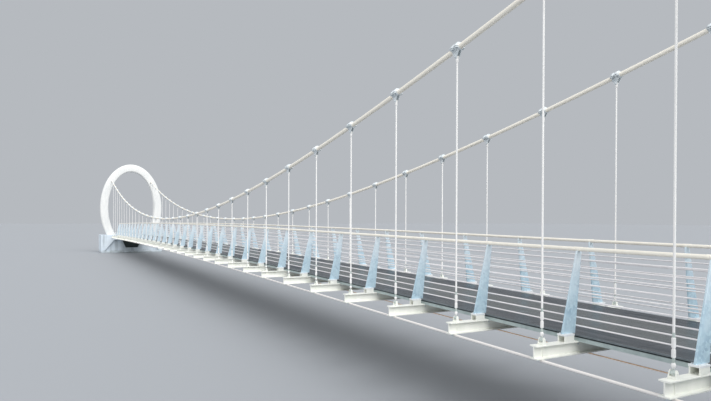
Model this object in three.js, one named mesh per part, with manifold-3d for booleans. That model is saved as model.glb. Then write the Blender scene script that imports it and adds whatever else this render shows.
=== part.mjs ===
// Suspension footbridge hung between two oval ring pylons, at half of its real size.
// Millimetres. X runs along the bridge, Y across it and Z up.
// The origin is at ground level below the middle of the span.
import * as THREE from 'three';
import { mergeVertices } from 'three/addons/utils/BufferGeometryUtils.js';
import Module from 'manifold-3d';

const wasm = await Module();
wasm.setup();

// Driving dimensions. real() turns a size of the real bridge into one of this 1:2 model.
const MODEL_SCALE = 0.5;
const real = (size) => size * MODEL_SCALE;
const GAP = 0.35; // between pieces that touch

// Span and deck
const BAY = real(2000);
const BAYS = 34;
const HALF_SPAN = (BAY * BAYS) / 2;
const DECK_MIDDLE_Z = real(2163); // deck surface at midspan, above the ground
const CAMBER = real(243); // fall of the deck's parabola from midspan to the pylons
const EASE_LENGTH = real(8000); // the deck flattens over this length before each pylon
const EASE = real(46); // and lies this much above the parabola at the pylon
const DECK_END_Z = DECK_MIDDLE_Z - CAMBER + EASE;
const DECK_HALF_WIDTH = real(1360);
const DECK_THICKNESS = real(36);
const SECTIONS = 7; // deck, floor frame and railings are made in this many lengths
const BEAMS_PER_SECTION = 5;

// Floor beams and edge channels
const BEAM_TOP = real(-85); // below the deck surface
const BEAM_DEPTH = real(199);
const BEAM_HALF_LENGTH = real(2210);
const FLANGE_WIDTH = real(150);
const FLANGE_THICKNESS = real(18);
const WEB_THICKNESS = real(22);
const CHANNEL_DEPTH = real(64);
const CHANNEL_WIDTH = real(60);
const CHANNEL_OUTER = real(1372);

// Railing
const HANDRAIL_Z = real(1278); // above the deck surface
const HANDRAIL_Y = real(1314);
const HANDRAIL_RADIUS = real(30);
const POST_THICKNESS = real(28);
const POST_INNER = real(1386); // foot of the post, the side towards the walkway
const POST_OUTER = real(1660);
const POST_TOP_INNER = real(1256);
const POST_TOP_OUTER = real(1362);
const POST_FOOT_Z = real(32);
const POST_TOP_Z = HANDRAIL_Z - real(20);
const BASE_PLATE_INNER = real(1464);
const BASE_PLATE_OUTER = real(1666);
const BASE_PLATE_WIDTH = real(150);
const BASE_PLATE_THICKNESS = real(28);
const PEDESTAL_INNER = real(1470);
const PEDESTAL_OUTER = real(1658);
const PEDESTAL_WIDTH = real(144);
const RAIL_SIZE = real(24);
const RAIL_FIRST_DROP = real(160); // first rail below the handrail
const RAIL_PITCH = real(122.5);
const RAILS_SHOWN = [2, 5, 8]; // of nine rails
const RAIL_SETTING = real(6); // depth that a rail is let into its posts
const END_POST_X = HALF_SPAN - real(680);
const RAILING_END = HALF_SPAN - real(560);

// Cables and hangers
const CABLE_Y = real(2048);
const CABLE_RADIUS = real(47);
const CABLE_LOW_Z = real(287); // above the handrail at midspan
const CABLE_RISE = real(4336); // from midspan to the pylons
const HANGER_HALF = real(15);
const SOCKET_HALF = real(25);
const SOCKET_HEIGHT = real(370);
const LUG_HALF = real(58);
const LUG_HEIGHT = real(104);
const CLAMP_HALF = real(90);
const CLAMP_HEIGHT = real(180);
const STORM_CABLE_Y = real(2104);
const STORM_CABLE_RADIUS = real(20);

// Ring pylons and abutments
const RING_HALF_WIDTH = real(3240);
const RING_HALF_HEIGHT = real(4920);
const RING_BAND = real(830);
const RING_DEPTH = real(800);
const RING_EDGE = real(110); // chamfer of the band's edges
const RING_CENTRE_Z = real(1700); // above the handrail at the pylon
const RING_STEPS = 48;
const ABUTMENT_FRONT = HALF_SPAN - real(900);
const ABUTMENT_BACK = HALF_SPAN + real(2700);
const ABUTMENT_HALF_WIDTH = real(3200);
const SEAT_LENGTH = real(360);
const NICHE_SILL = real(160); // shallow niche in the abutment's face, below the deck
const NICHE_TOP = real(1440);
const NICHE_HALF_WIDTH = real(2880);
const NICHE_TOP_HALF_WIDTH = real(1860);
const NICHE_DEPTH = real(400);
const NICHE_STEPS = 24;
const RECESS_SILL = real(560); // deep recess in the middle of the niche
const RECESS_HALF_WIDTH = real(640);
const RECESS_TOP_HALF_WIDTH = real(1020);
const RECESS_DEPTH = real(1300);

const COLOURS = {
  ring: 0xf3f4f2,
  concrete: 0xcfd8e0,
  cable: 0xe9e2d4,
  storm: 0xeeeae2,
  beam: 0xe6e8dd,
  deck: 0x4b5258,
  railing: 0xc3d2dc,
};

const X = new THREE.Vector3(1, 0, 0);
const Y = new THREE.Vector3(0, 1, 0);
const Z = new THREE.Vector3(0, 0, 1);

const bridge = new THREE.Group();
bridge.name = 'suspension_footbridge';

const sectionLength = BEAMS_PER_SECTION * BAY;

// Places along the bridge where two lengths of the deck meet, and its ends
const joints = [-HALF_SPAN];
for (let n = 1; n < SECTIONS; n += 1) joints.push((n - SECTIONS / 2) * sectionLength);
joints.push(HALF_SPAN);

// Height of the deck's curve: a parabola that flattens towards the pylons
function deckCurve(place) {
  const eased = Math.max(0, Math.abs(place) - HALF_SPAN + EASE_LENGTH) / EASE_LENGTH;
  return DECK_MIDDLE_Z - CAMBER * (place / HALF_SPAN) ** 2 + EASE * eased ** 2;
}

// Height of the deck surface: each length is straight, and the joints lie on the curve
function deckZ(x) {
  const next = joints.findIndex((place, n) => n > 0 && (place >= x || n === SECTIONS));
  const [from, to] = [joints[next - 1], joints[next]];
  return THREE.MathUtils.mapLinear(x, from, to, deckCurve(from), deckCurve(to));
}

// Height of a main cable
const cableZ = (x) => deckZ(0) + HANDRAIL_Z + CABLE_LOW_Z + CABLE_RISE * (x / HALF_SPAN) ** 2;

function toSolid(geometry) {
  const bare = geometry.clone();
  bare.deleteAttribute('normal');
  bare.deleteAttribute('uv');
  const merged = mergeVertices(bare, 1e-3);
  return new wasm.Manifold(new wasm.Mesh({
    numProp: 3,
    vertProperties: new Float32Array(merged.attributes.position.array),
    triVerts: new Uint32Array(merged.index.array),
  }));
}

function toGeometry(solid) {
  const mesh = solid.getMesh();
  const geometry = new THREE.BufferGeometry();
  geometry.setAttribute('position', new THREE.BufferAttribute(mesh.vertProperties, 3));
  geometry.setIndex(new THREE.BufferAttribute(mesh.triVerts, 1));
  geometry.computeVertexNormals();
  return geometry;
}

const joined = (geometries) => geometries.map(toSolid).reduce((sum, solid) => sum.add(solid));

// Lifts every vertex by the height of a line that runs along the bridge
function follow(geometry, height) {
  const place = geometry.attributes.position;
  for (let i = 0; i < place.count; i += 1) {
    place.setZ(i, place.getZ(i) + height(place.getX(i)));
  }
  return geometry;
}

// A straight rectangular bar along the bridge
function bar(from, to, y, z, width, height) {
  return new THREE.BoxGeometry(to - from, width, height).translate((from + to) / 2, y, z);
}

// A round bar along the bridge in straight pieces that meet at the given places
function rod(places, y, z, radius, sides) {
  const pieces = places.length - 1;
  const geometry = new THREE.CylinderGeometry(radius, radius, pieces, sides, pieces);
  geometry.rotateY(Math.PI / sides).rotateZ(Math.PI / 2).translate(pieces / 2, y, z);
  const place = geometry.attributes.position;
  for (let i = 0; i < place.count; i += 1) {
    place.setX(i, places[Math.round(place.getX(i))]);
  }
  return geometry;
}

// An outline of [y, z] points made thick along X
function plateAcross(points, x, thickness) {
  const outline = new THREE.Shape(points.map(([y, z]) => new THREE.Vector2(y, z)));
  const geometry = new THREE.ExtrudeGeometry(outline, { depth: thickness, bevelEnabled: false });
  return geometry.applyMatrix4(new THREE.Matrix4().makeBasis(Y, Z, X)).translate(x - thickness / 2, 0, 0);
}

// An outline of [x, z] points made thick along Y
function plateAlong(points, y, thickness) {
  const outline = new THREE.Shape(points.map(([x, z]) => new THREE.Vector2(x, z)));
  const geometry = new THREE.ExtrudeGeometry(outline, { depth: thickness, bevelEnabled: false });
  const turned = new THREE.Matrix4().makeBasis(X, Z, Y.clone().negate());
  return geometry.applyMatrix4(turned).translate(0, y + thickness / 2, 0);
}

function addPiece(name, geometry, colour, roughness, metalness = 0) {
  const material = new THREE.MeshStandardMaterial({ color: colour, roughness, metalness });
  const mesh = new THREE.Mesh(geometry, material);
  mesh.name = name;
  bridge.add(mesh);
}

// Ring pylon: an oval band with chamfered edges, standing on its abutment
function ringPylon(end) {
  const edge = RING_EDGE;
  const outer = new THREE.Shape();
  outer.absellipse(0, 0, RING_HALF_WIDTH - edge, RING_HALF_HEIGHT - edge, 0, Math.PI * 2, false, 0);
  const inner = new THREE.Path();
  const innerWidth = RING_HALF_WIDTH - RING_BAND + edge;
  const innerHeight = RING_HALF_HEIGHT - RING_BAND + edge;
  inner.absellipse(0, 0, innerWidth, innerHeight, 0, Math.PI * 2, true, 0);
  outer.holes.push(inner);
  const geometry = new THREE.ExtrudeGeometry(outer, {
    depth: RING_DEPTH - 2 * edge,
    curveSegments: RING_STEPS / 2,
    bevelEnabled: true,
    bevelThickness: edge,
    bevelSize: edge,
    bevelSegments: 1,
  });
  const centreZ = DECK_END_Z + HANDRAIL_Z + RING_CENTRE_Z;
  geometry.translate(0, 0, edge - RING_DEPTH / 2);
  geometry.applyMatrix4(new THREE.Matrix4().makeBasis(Y, Z, X)).translate(end * HALF_SPAN, 0, centreZ);
  const above = new THREE.BoxGeometry(2 * RING_DEPTH, 3 * RING_HALF_WIDTH, 3 * RING_HALF_HEIGHT);
  above.translate(end * HALF_SPAN, 0, DECK_END_Z + GAP + (3 * RING_HALF_HEIGHT) / 2);
  return toGeometry(toSolid(geometry).intersect(toSolid(above)));
}

// A hollow in an abutment's face that is wider or narrower at its top than at its sill
function hollow(end, depth, [halfWidth, sill], [topHalfWidth, top]) {
  const half = [[halfWidth, sill], [topHalfWidth, top]];
  const otherHalf = half.map(([y, z]) => [-y, z]).reverse();
  return toSolid(plateAcross([...half, ...otherHalf], end * ABUTMENT_FRONT, 2 * depth));
}

// The niche narrows towards the deck, and its back is curved in plan
function niche(end) {
  const sill = [NICHE_HALF_WIDTH, NICHE_SILL];
  const opening = hollow(end, NICHE_DEPTH, sill, [NICHE_TOP_HALF_WIDTH, NICHE_TOP]);
  const back = new THREE.CylinderGeometry(1, 1, 2 * NICHE_TOP, NICHE_STEPS);
  back.rotateX(Math.PI / 2).scale(NICHE_DEPTH, NICHE_HALF_WIDTH, 1);
  back.translate(end * ABUTMENT_FRONT, 0, NICHE_TOP);
  return opening.intersect(toSolid(back));
}

// Abutment: a concrete block level with the deck, with a seat that the deck's end lies on
function abutment(end) {
  const length = ABUTMENT_BACK - ABUTMENT_FRONT;
  const mass = new THREE.BoxGeometry(length, 2 * ABUTMENT_HALF_WIDTH, DECK_END_Z);
  mass.translate(end * (ABUTMENT_FRONT + length / 2), 0, DECK_END_Z / 2);
  const seatBottom = deckZ(ABUTMENT_FRONT) - DECK_THICKNESS - CHANNEL_DEPTH - 2 * GAP - real(10);
  const seatHeight = 2 * (DECK_END_Z - seatBottom);
  const seat = new THREE.BoxGeometry(2 * SEAT_LENGTH, 2 * (CHANNEL_OUTER + GAP), seatHeight);
  seat.translate(end * ABUTMENT_FRONT, 0, seatBottom + seatHeight / 2);
  const sill = [RECESS_HALF_WIDTH, RECESS_SILL];
  const recess = hollow(end, RECESS_DEPTH, sill, [RECESS_TOP_HALF_WIDTH, NICHE_TOP]);
  return toGeometry(toSolid(mass).subtract(toSolid(seat)).subtract(niche(end)).subtract(recess));
}

// One length of the floor: I-section beams under the hangers, joined by two edge channels
function floorFrame(beams, from, to) {
  const top = BEAM_TOP;
  const bottom = BEAM_TOP - BEAM_DEPTH;
  const halfFlange = FLANGE_WIDTH / 2;
  const halfWeb = WEB_THICKNESS / 2;
  const outline = (x) => [
    [x - halfFlange, bottom],
    [x + halfFlange, bottom],
    [x + halfFlange, bottom + FLANGE_THICKNESS],
    [x + halfWeb, bottom + FLANGE_THICKNESS],
    [x + halfWeb, top - FLANGE_THICKNESS],
    [x + halfFlange, top - FLANGE_THICKNESS],
    [x + halfFlange, top],
    [x - halfFlange, top],
    [x - halfFlange, top - FLANGE_THICKNESS],
    [x - halfWeb, top - FLANGE_THICKNESS],
    [x - halfWeb, bottom + FLANGE_THICKNESS],
    [x - halfFlange, bottom + FLANGE_THICKNESS],
  ];
  const pieces = beams.map((x) => plateAlong(outline(x), 0, 2 * BEAM_HALF_LENGTH));
  const channelZ = -DECK_THICKNESS - GAP - CHANNEL_DEPTH / 2;
  const channelY = CHANNEL_OUTER - CHANNEL_WIDTH / 2;
  for (const side of [1, -1]) {
    pieces.push(bar(from, to, side * channelY, channelZ, CHANNEL_WIDTH, CHANNEL_DEPTH));
  }
  return follow(toGeometry(joined(pieces)), deckZ);
}

// A box by its lowest and highest place across the bridge and upwards, centred on x
function block(x, width, [lowY, highY], [lowZ, highZ]) {
  const geometry = new THREE.BoxGeometry(width, highY - lowY, highZ - lowZ);
  return geometry.translate(x, (lowY + highY) / 2, (lowZ + highZ) / 2);
}

// A railing post: a plate on edge that tapers upwards, on a base plate and a short pedestal
function post(x, side, foot) {
  const plateBottom = POST_FOOT_Z - BASE_PLATE_THICKNESS;
  const insidePlate = POST_FOOT_Z - BASE_PLATE_THICKNESS / 2;
  const outline = [
    [POST_INNER, insidePlate],
    [POST_OUTER, insidePlate],
    [POST_OUTER, POST_FOOT_Z],
    [POST_TOP_OUTER, POST_TOP_Z],
    [POST_TOP_INNER, POST_TOP_Z],
    [POST_INNER, POST_FOOT_Z],
  ];
  const across = (inner, outer) => [inner * side, outer * side].sort((a, b) => a - b);
  return [
    plateAcross(outline.map(([y, z]) => [side * y, z]), x, POST_THICKNESS),
    block(x, BASE_PLATE_WIDTH, across(BASE_PLATE_INNER, BASE_PLATE_OUTER), [plateBottom, POST_FOOT_Z]),
    block(x, PEDESTAL_WIDTH, across(PEDESTAL_INNER, PEDESTAL_OUTER), [foot, insidePlate]),
  ];
}

// The side of a post that faces the walkway leans inwards, and the rails lie along it
const railY = (z) => THREE.MathUtils.mapLinear(z, POST_FOOT_Z, POST_TOP_Z, POST_INNER, POST_TOP_INNER)
  - RAIL_SIZE / 2 + RAIL_SETTING;

// One length of railing: posts on the floor beams, the handrail, and rails between them
function railing(side, beams, from, to) {
  const pieces = beams.flatMap((x) => post(x, side, BEAM_TOP + GAP));
  if (from < -END_POST_X || to > END_POST_X) {
    pieces.push(...post(Math.sign(from + to) * END_POST_X, side, DECK_END_Z - deckZ(END_POST_X) + 2 * GAP));
  }
  pieces.push(rod([from, to], side * HANDRAIL_Y, HANDRAIL_Z, HANDRAIL_RADIUS, 6));
  for (const index of RAILS_SHOWN) {
    const z = HANDRAIL_Z - RAIL_FIRST_DROP - index * RAIL_PITCH;
    pieces.push(bar(from, to, side * railY(z), z, RAIL_SIZE, RAIL_SIZE));
  }
  return follow(toGeometry(joined(pieces)), deckZ);
}

// A hanger from the lug on its floor beam up to the clamp round the main cable, made square
function hanger(x, side) {
  const foot = BEAM_TOP + GAP;
  const socketTop = foot + LUG_HEIGHT + SOCKET_HEIGHT;
  const clamp = cableZ(x) - deckZ(x) - CLAMP_HEIGHT / 2;
  const profile = [
    [0, foot],
    [LUG_HALF, foot],
    [SOCKET_HALF, foot + LUG_HEIGHT],
    [SOCKET_HALF, socketTop],
    [HANGER_HALF, socketTop + SOCKET_HALF],
    [HANGER_HALF, clamp - HANGER_HALF],
    [CLAMP_HALF, clamp],
    [CLAMP_HALF, clamp + CLAMP_HEIGHT],
    [0, clamp + CLAMP_HEIGHT],
  ];
  const corners = profile.map(([half, z]) => new THREE.Vector2(half * Math.SQRT2, z));
  const geometry = new THREE.LatheGeometry(corners, 4).rotateY(Math.PI / 4).rotateX(Math.PI / 2);
  return follow(geometry.translate(x, side * CABLE_Y, 0), deckZ);
}

// A main cable from pylon to pylon with its clamps and hangers
function mainCable(side) {
  const end = HALF_SPAN - RING_DEPTH / 2 - GAP;
  const places = beamPlaces(-HALF_SPAN, HALF_SPAN);
  const cable = follow(rod([-end, ...places, end], side * CABLE_Y, 0, CABLE_RADIUS, 6), cableZ);
  const hangers = places.map((x) => hanger(x, side));
  return toGeometry(joined([cable, ...hangers]));
}

// A storm cable under the ends of the floor beams, from abutment to abutment
function stormCable(side) {
  const end = ABUTMENT_FRONT - GAP;
  const z = BEAM_TOP - BEAM_DEPTH - STORM_CABLE_RADIUS - GAP;
  const places = [-end, ...joints.slice(1, -1), end];
  return follow(rod(places, side * STORM_CABLE_Y, z, STORM_CABLE_RADIUS, 6), deckZ);
}

// Places of the floor beams strictly between two places along the bridge
function beamPlaces(from, to) {
  const places = [];
  for (let n = 1; n < BAYS; n += 1) {
    const x = n * BAY - HALF_SPAN;
    if (x > from && x < to) places.push(x);
  }
  return places;
}

for (const [end, name] of [[-1, 'west'], [1, 'east']]) {
  addPiece(`ring_pylon_${name}`, ringPylon(end), COLOURS.ring, 0.35);
  addPiece(`abutment_${name}`, abutment(end), COLOURS.concrete, 0.9);
}

for (const [side, name] of [[1, 'north'], [-1, 'south']]) {
  addPiece(`main_cable_${name}`, mainCable(side), COLOURS.cable, 0.5, 0.2);
  addPiece(`storm_cable_${name}`, stormCable(side), COLOURS.storm, 0.5, 0.2);
}

// The lengths meet halfway between two floor beams
const deckEnd = ABUTMENT_FRONT + SEAT_LENGTH - real(20);
for (let n = 0; n < SECTIONS; n += 1) {
  const from = joints[n] + GAP / 2;
  const to = joints[n + 1] - GAP / 2;
  const deckFrom = Math.max(from, -deckEnd);
  const deckTo = Math.min(to, deckEnd);
  const railFrom = Math.max(from, -RAILING_END);
  const railTo = Math.min(to, RAILING_END);
  const beams = beamPlaces(from, to);
  const slab = bar(deckFrom, deckTo, 0, -DECK_THICKNESS / 2, 2 * DECK_HALF_WIDTH, DECK_THICKNESS);
  addPiece(`deck_${n + 1}`, follow(slab, deckZ), COLOURS.deck, 0.85);
  addPiece(`floor_frame_${n + 1}`, floorFrame(beams, deckFrom, deckTo), COLOURS.beam, 0.5);
  for (const [side, name] of [[1, 'north'], [-1, 'south']]) {
    const geometry = railing(side, beams, railFrom, railTo);
    addPiece(`railing_${name}_${n + 1}`, geometry, COLOURS.railing, 0.5, 0.3);
  }
}

export default bridge;
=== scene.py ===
# Suspension footbridge hung between two oval ring pylons, at half of its real size.
# Metres. X runs along the bridge, Y across it and Z up. The ground is at zero.

import math

import bmesh
import bpy
from mathutils import Matrix, Vector


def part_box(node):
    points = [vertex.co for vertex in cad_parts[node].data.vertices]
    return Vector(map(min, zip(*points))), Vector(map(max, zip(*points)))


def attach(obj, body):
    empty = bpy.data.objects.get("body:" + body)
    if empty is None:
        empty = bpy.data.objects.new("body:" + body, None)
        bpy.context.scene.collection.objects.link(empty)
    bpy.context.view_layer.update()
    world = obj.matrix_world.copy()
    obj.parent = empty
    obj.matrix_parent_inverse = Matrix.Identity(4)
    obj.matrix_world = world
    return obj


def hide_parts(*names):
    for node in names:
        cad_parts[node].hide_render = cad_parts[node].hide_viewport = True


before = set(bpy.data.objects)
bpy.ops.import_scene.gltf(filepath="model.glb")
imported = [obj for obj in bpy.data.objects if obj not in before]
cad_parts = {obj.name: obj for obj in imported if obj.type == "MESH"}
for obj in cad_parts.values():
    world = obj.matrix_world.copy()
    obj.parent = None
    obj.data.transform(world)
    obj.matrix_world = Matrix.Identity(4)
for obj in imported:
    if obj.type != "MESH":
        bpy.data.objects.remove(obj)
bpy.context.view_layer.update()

# Sizes that the frame gives
ring_low, ring_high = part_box("ring_pylon_east")
_, deck_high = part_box("deck_7")
abutment_low, abutment_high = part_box("abutment_east")
HALF_SPAN = (ring_low.x + ring_high.x) / 2
RING_DEPTH = ring_high.x - ring_low.x
RING_HALF_WIDTH = ring_high.y
RING_TOP = ring_high.z
DECK_HALF_WIDTH = deck_high.y
DECK_END_X = deck_high.x
DECK_END_Z = abutment_high.z
ABUTMENT_FRONT = abutment_low.x

OVERLAP = 0.001  # parts that touch run this far into each other

# Span and deck
BAY = 1.0
BAYS = 34
BEAM_PLACES = [n * BAY - HALF_SPAN for n in range(1, BAYS)]
SECTIONS = 7
SECTION_LENGTH = 5 * BAY
JOINT_GAP = 0.004
CAMBER = 0.1215  # fall of the deck's parabola from midspan to the pylons
EASE_LENGTH = 4.0  # the deck flattens over this length before each pylon
EASE = 0.023  # and lies this much above the parabola at the pylon
DECK_THICKNESS = 0.018
LANE_WIDTH = 0.34
LANE_GAP = 0.004
EDGE_WIDTH = 0.010
TRIM_HEIGHT = 0.010
TRIM_THICKNESS = 0.003
TRIM_RISE = 0.001
FOLLOW_STEP = BAY / 4
BAR_STEP = BAY / 2

# Floor beams, edge channels and stringers, below the deck surface
BEAM_TOP = -0.0425
BEAM_DEPTH = 0.0995
BEAM_BOTTOM = BEAM_TOP - BEAM_DEPTH
BEAM_HALF_LENGTH = 1.105
FLANGE_WIDTH = 0.075
FLANGE_THICKNESS = 0.009
FLANGE_SLOPE = 0.002
WEB_THICKNESS = 0.011
STIFFENER_THICKNESS = 0.007
STIFFENER_REACH = 0.013
WEB_BOLT_Y = 0.662
WEB_BOLT_Z = -0.070
WEB_BOLT_SIZE = 0.0075
CHANNEL_OUTER = 0.686
CHANNEL_WIDTH = 0.030
CHANNEL_TOP = -0.020
CHANNEL_BOTTOM = -0.048
CHANNEL_THICKNESS = 0.006
STRINGER_WIDTH = 0.026
FLOOR_TIE_Y = 0.565
FLOOR_TIE_RADIUS = 0.0045

# Railing, above the deck surface
HANDRAIL_Z = 0.639
HANDRAIL_Y = 0.657
HANDRAIL_RADIUS = 0.0155
SADDLE_LENGTH = 0.075
SADDLE_RADIUS = 0.0170
SADDLE_SCREW_PLACE = 0.024
SADDLE_SCREW_RADIUS = 0.0045
POST_THICKNESS = 0.014
POST_INNER = 0.693
POST_OUTER = 0.830
POST_TOP_INNER = 0.628
POST_TOP_OUTER = 0.681
POST_FOOT_Z = 0.016
POST_TOP_Z = HANDRAIL_Z - 0.010
POST_OUTER_CORNER = 0.010
POST_INNER_CORNER = 0.006
BASE_PLATE_INNER = 0.732
BASE_PLATE_OUTER = 0.833
BASE_PLATE_HALF_WIDTH = 0.0375
BASE_PLATE_THICKNESS = 0.014
BASE_BOLT_PLACE = 0.024
BASE_BOLT_FROM_INNER = 0.018
BASE_BOLT_FROM_OUTER = 0.016
BASE_BOLT_SIZE = 0.007
PEDESTAL_INNER = 0.735
PEDESTAL_OUTER = 0.829
PEDESTAL_HALF_WIDTH = 0.036
PEDESTAL_PLATE = 0.010
# Thickness of the near-black sheets of painted shade inside the pedestals.
PEDESTAL_SHADE_SHEET = 0.002
PEDESTAL_BOTTOM = BEAM_TOP - OVERLAP
PEDESTAL_TOP = POST_FOOT_Z - BASE_PLATE_THICKNESS + OVERLAP
RAIL_RADIUS = 0.0056
RAILS = 9
RAIL_FIRST_DROP = 0.080
RAIL_PITCH = 0.06095
RAIL_SETTING = 0.003
END_POST_X = 16.66

# Cables and hangers
CABLE_Y = 1.024
CABLE_RADIUS = 0.0235
CABLE_LOW_Z = 0.1435
CABLE_RISE = 2.168
CLAMP_HALF_LENGTH = 0.049
CLAMP_RADIUS = 0.031
CLAMP_RIB_RADIUS = 0.046
CLAMP_RIB_HALF_LENGTH = 0.019
CLAMP_RIB_PLACE = 0.026
CLAMP_EDGE = 0.007
CLAMP_FLANGE = 0.053
CLAMP_FLANGE_THICKNESS = 0.007
CLAMP_FLANGE_CORNER = 0.008
CLAMP_BOLT_FROM_EDGE = 0.011
CLAMP_BOLT_SIZE = 0.0085
CLAMP_SPLIT = 0.003
CLAMP_STEPS = 14
PIN_DROP = 0.074
PIN_BOLT_SIZE = 0.0085
FORK_MIDDLE = 0.0145  # from the hanger's middle to the middle of each plate
FORK_THICKNESS = 0.006
FORK_BOLT_PLACE = 0.023
FORK_BOLT_DROP = 0.041
FORK_BOLT_SIZE = 0.0062
HANGER_RADIUS = 0.0075
ROD_FOOT = 0.263  # a hanger's plain rod starts this far above its floor beam
ROD_TOP_DROP = PIN_DROP + 0.046  # and ends this far below the cable's middle
LUG_PIN_Z = 0.034
LUG_PIN_PLACE = 0.025
LUG_PIN_BOLT_SIZE = 0.0055
LUG_LEG_HALF_THICKNESS = 0.0046
LUG_BLOCK = (0.0230, 0.0125, 0.016)  # half length, half width and height
STORM_CABLE_Y = 1.052
STORM_CABLE_RADIUS = 0.010
STORM_CABLE_Z = BEAM_BOTTOM - STORM_CABLE_RADIUS

# Ring pylons
RING_HALF_HEIGHT = 2.46
RING_CENTRE_Z = RING_TOP - RING_HALF_HEIGHT
RING_BAND = 0.415
RING_CORNER = 0.075
RING_STEPS = 160
RING_SEAMS = 12
CORNER_STEPS = 5
RING_FOOT_REACH = 0.3  # the ring reaches this far below the deck's ends before it is cut off
SEAM_RADIUS = 0.004
SOCKET_BOLTS = 6
SOCKET_BOLT_CIRCLE = 0.040
SOCKET_BOLT_OUT = 0.010
SOCKET_BOLT_SIZE = 0.0045

# Abutments
CONCRETE_EDGE = 0.012
MORTAR_RIM = 0.006
COVER_INNER = 0.03
COVER_OUTER = 0.07
COVER_HALF_WIDTH = 0.655
COVER_BOTTOM = 0.0005
COVER_TOP = 0.006
COVER_SCREWS = 8
COVER_SCREW_PITCH = 0.17
COVER_SCREW_X = 0.055

# Shading and rounding
ROUND_SIDES = 16
BOLT_SIDES = 12
FINE_SIDES = 14
SADDLE_SIDES = 20
TIE_SIDES = 10
SEAM_SIDES = 8
CABLE_SIDES = 24
FINE_EDGE = 0.001
POST_EDGE = 0.0015
FORK_EDGE = 0.0008
SHARP_ANGLE = math.radians(30)
BEVEL_ANGLE = math.radians(40)

# The photograph's viewpoint. The yaw turns from the bridge's line towards -Y.
CAMERA_PLACE = Vector((-18.0851, 4.1727, 1.8433))
CAMERA_YAW = math.radians(27.8068)
CAMERA_PITCH = math.radians(-0.5555)
CAMERA_ROLL = math.radians(0.1562)
PICTURE_WIDTH = 711
FOCAL_PIXELS = 583.4165
AXIS_BELOW_MIDDLE = 25.26
SENSOR_WIDTH = 36.0

X = Vector((1, 0, 0))
Y = Vector((0, 1, 0))
Z = Vector((0, 0, 1))
SIDES = ((1, "north"), (-1, "south"))
ENDS = ((-1, "west"), (1, "east"))


def deck_z(x):
    """Height of the deck surface: a parabola that flattens towards the pylons."""
    eased = max(0.0, abs(x) - HALF_SPAN + EASE_LENGTH) / EASE_LENGTH
    return DECK_END_Z - EASE + CAMBER * (1 - (x / HALF_SPAN) ** 2) + EASE * eased ** 2


def cable_z(x):
    """Height of a main cable's middle."""
    return deck_z(0) + HANDRAIL_Z + CABLE_LOW_Z + CABLE_RISE * (x / HALF_SPAN) ** 2


def cable_direction(x):
    """Unit vector along a main cable."""
    return Vector((1, 0, 2 * CABLE_RISE * x / HALF_SPAN ** 2)).normalized()


def beam_places(start, end):
    """Places of the floor beams strictly between two places along the bridge."""
    return [x for x in BEAM_PLACES if start < x < end]


def steps_between(start, end, step):
    """Evenly spaced places from start to end, about one step apart."""
    count = max(1, round((end - start) / step))
    return [start + (end - start) * n / count for n in range(count + 1)]


def circle(centre, direction, radius, sides, reference=None):
    """Points of a circle round a line."""
    axis = direction.normalized()
    if reference is None:
        reference = X if abs(axis.z) > 0.8 else Z
    first = axis.cross(reference).normalized()
    second = axis.cross(first)
    turns = [2 * math.pi * i / sides for i in range(sides)]
    return [centre + radius * (first * math.cos(t) + second * math.sin(t)) for t in turns]


def rectangle(low, high):
    """Corners of a rectangle from its lowest and highest corner."""
    return [(low[0], low[1]), (high[0], low[1]), (high[0], high[1]), (low[0], high[1])]


def mirrored(points):
    """The other half of a symmetric outline: the points mirrored at zero, in the opposite order."""
    return [(-first, second) for first, second in reversed(points)]


def cable_point(x, side):
    return Vector((x, side * CABLE_Y, cable_z(x)))


def hanger_foot(x, side):
    """Place on a floor beam's top below the cable."""
    return Vector((x, side * CABLE_Y, deck_z(x) + BEAM_TOP))


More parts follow.
